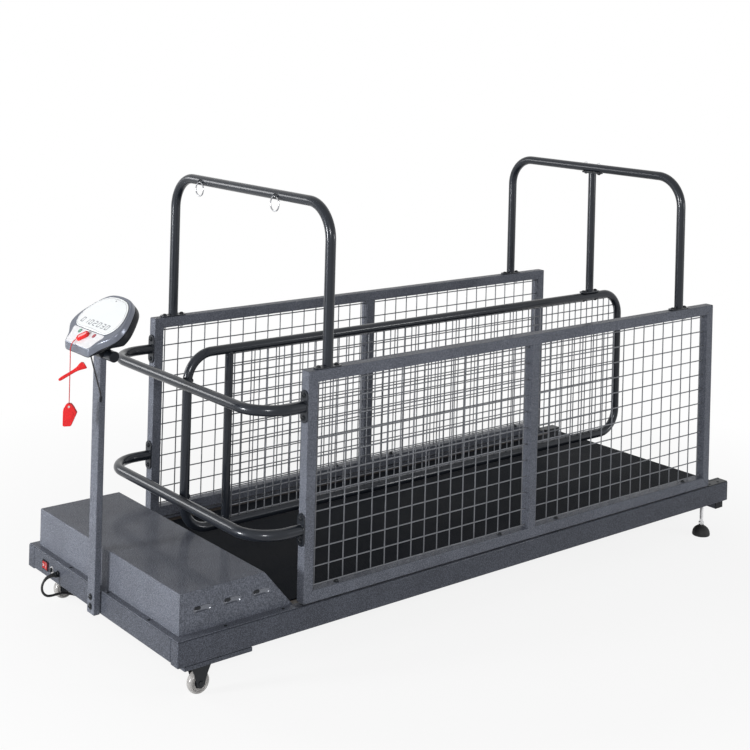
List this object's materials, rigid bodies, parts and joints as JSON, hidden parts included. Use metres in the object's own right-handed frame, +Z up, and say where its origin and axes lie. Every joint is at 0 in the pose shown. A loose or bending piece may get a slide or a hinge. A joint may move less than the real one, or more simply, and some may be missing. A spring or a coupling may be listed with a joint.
{
  "type": "dog treadmill",
  "caption": "Long motorised running deck with mesh side panels, a mesh lane divider, arched tube hoops, U-shaped front rails and a tilted console on a post.",
  "frame": {"origin": "centre of the footprint at floor level, without the loose cords", "axes": "+X towards the rear end, away from the motor and console; +Y towards the side with the mains switch; +Z up"},
  "size_m": [2.381, 0.879, 1.271],
  "materials": {
    "hammertone_steel": "charcoal hammertone powder coat",
    "black_steel": "satin black powder coat",
    "grey_tube": "dark grey-blue metallic coat, half gloss",
    "mesh_wire": "dark grey coated wire",
    "bare_steel": "bright turned steel",
    "plated_ring": "bright plating",
    "black_rubber": "matt black rubber",
    "belt_rubber": "fine diamond-textured black belt",
    "deck_board": "black phenolic-faced board",
    "clear_wheel": "translucent wheel with a dark hub",
    "motor_paint": "grey motor paint",
    "silver_plastic": "silver-painted console shell",
    "white_panel": "glossy white display panel",
    "green_key": "green push key",
    "red_plastic": "bright red plastic",
    "red_cord": "red woven cord",
    "black_plastic": "black plastic"
  },
  "bodies": {
    "frame": {"near_side_rail": "hammertone_steel", "far_side_rail": "hammertone_steel", "front_crossbeam": "hammertone_steel", "rear_cross_tube": "hammertone_steel", "near_caster_mount": "hammertone_steel", "far_caster_mount": "hammertone_steel", "motor_cover": "hammertone_steel", "near_panel_frame": "hammertone_steel", "far_panel_frame": "hammertone_steel", "console_post": "hammertone_steel", "front_deck_crossmember": "black_steel", "rear_deck_crossmember": "black_steel", "near_caster_fork": "black_steel", "far_caster_fork": "black_steel", "motor_bracket": "black_steel", "upper_u_rail": "grey_tube", "lower_u_rail": "grey_tube", "front_hoop": "grey_tube", "rear_hoop": "grey_tube", "centre_tube": "grey_tube", "divider_frame": "grey_tube", "near_front_mesh": "mesh_wire", "near_rear_mesh": "mesh_wire", "far_front_mesh": "mesh_wire", "far_rear_mesh": "mesh_wire", "divider_mesh": "mesh_wire", "drive_roller_shaft": "bare_steel", "tail_roller_shaft": "bare_steel", "drive_belt": "black_rubber", "power_cord": "black_rubber", "power_cord_coil": "black_rubber", "power_plug": "black_rubber", "running_belt": "belt_rubber", "deck_board": "deck_board", "drive_motor": "motor_paint", "console_face": "silver_plastic", "display_panel": "white_panel", "console_back": "black_plastic", "motor_controller": "black_plastic", "cord_gland": "black_plastic", "console_cable": "black_plastic", "console_cable_plug": "black_plastic"},
    "drive_roller": {"drive_roller": "bare_steel", "roller_pulley": "black_steel"},
    "motor_pulley": {"motor_pulley": "bare_steel"},
    "tail_roller": {"tail_roller": "bare_steel"},
    "near_caster_wheel": {"near_caster_wheel": "clear_wheel"},
    "far_caster_wheel": {"far_caster_wheel": "clear_wheel"},
    "near_levelling_foot": {"near_levelling_foot": "black_rubber"},
    "far_levelling_foot": {"far_levelling_foot": "black_rubber"},
    "near_tie_ring": {"near_tie_ring": "plated_ring"},
    "far_tie_ring": {"far_tie_ring": "plated_ring"},
    "rocker_switch": {"rocker_switch": "red_plastic"},
    "breaker_button": {"breaker_button": "black_plastic"},
    "start_key": {"start_key": "green_key"},
    "stop_key": {"stop_key": "red_plastic"},
    "safety_key": {"safety_key": "red_plastic", "safety_lanyard": "red_cord", "lanyard_toggle": "red_plastic", "lanyard_clip": "red_plastic"}
  },
  "joints": [
    {"name": "drive_roller_spin", "type": "hinge", "parent": "frame", "child": "drive_roller", "pos_m": [-0.77689, 0, 0.1352], "axis": [0, 1, 0], "continuous": true},
    {"name": "motor_pulley_spin", "type": "hinge", "parent": "frame", "child": "motor_pulley", "pos_m": [-0.94189, -0.3743, 0.172], "axis": [0, 1, 0], "continuous": true},
    {"name": "tail_roller_spin", "type": "hinge", "parent": "frame", "child": "tail_roller", "pos_m": [1.13811, 0, 0.1352], "axis": [0, 1, 0], "continuous": true},
    {"name": "near_caster_roll", "type": "hinge", "parent": "frame", "child": "near_caster_wheel", "pos_m": [-0.98789, -0.378, 0.031], "axis": [0, 1, 0], "continuous": true},
    {"name": "far_caster_roll", "type": "hinge", "parent": "frame", "child": "far_caster_wheel", "pos_m": [-0.98789, 0.378, 0.031], "axis": [0, 1, 0], "continuous": true},
    {"name": "near_foot_screw", "type": "slide", "parent": "frame", "child": "near_levelling_foot", "axis": [0, 0, -1], "range_m": [0, 0.02]},
    {"name": "far_foot_screw", "type": "slide", "parent": "frame", "child": "far_levelling_foot", "axis": [0, 0, -1], "range_m": [0, 0.02]},
    {"name": "near_ring_swing", "type": "hinge", "parent": "frame", "child": "near_tie_ring", "pos_m": [-0.63139, -0.163, 1.2478], "axis": [0, 1, 0], "range_deg": [0, 75]},
    {"name": "far_ring_swing", "type": "hinge", "parent": "frame", "child": "far_tie_ring", "pos_m": [-0.63139, 0.24, 1.2478], "axis": [0, 1, 0], "range_deg": [0, 75]},
    {"name": "rocker_tilt", "type": "hinge", "parent": "frame", "child": "rocker_switch", "pos_m": [-1.08089, 0.315, 0.1375], "axis": [0, 0, 1], "range_deg": [-9, 9]},
    {"name": "breaker_push", "type": "slide", "parent": "frame", "child": "breaker_button", "axis": [1, 0, 0], "range_m": [0, 0.004]},
    {"name": "start_key_press", "type": "slide", "parent": "frame", "child": "start_key", "axis": [0.6428, 0, -0.766], "range_m": [0, 0.0012], "stiffness_N_per_m": 500},
    {"name": "stop_key_press", "type": "slide", "parent": "frame", "child": "stop_key", "axis": [0.6428, 0, -0.766], "range_m": [0, 0.0012], "stiffness_N_per_m": 500},
    {"name": "safety_key_pull", "type": "slide", "parent": "frame", "child": "safety_key", "axis": [-0.6428, 0, 0.766], "range_m": [0, 0.03]}
  ],
  "couplings": [
    {"joint": "motor_pulley_spin", "follows": "drive_roller_spin", "ratio": 2.25},
    {"joint": "tail_roller_spin", "follows": "drive_roller_spin", "ratio": 1}
  ]
}
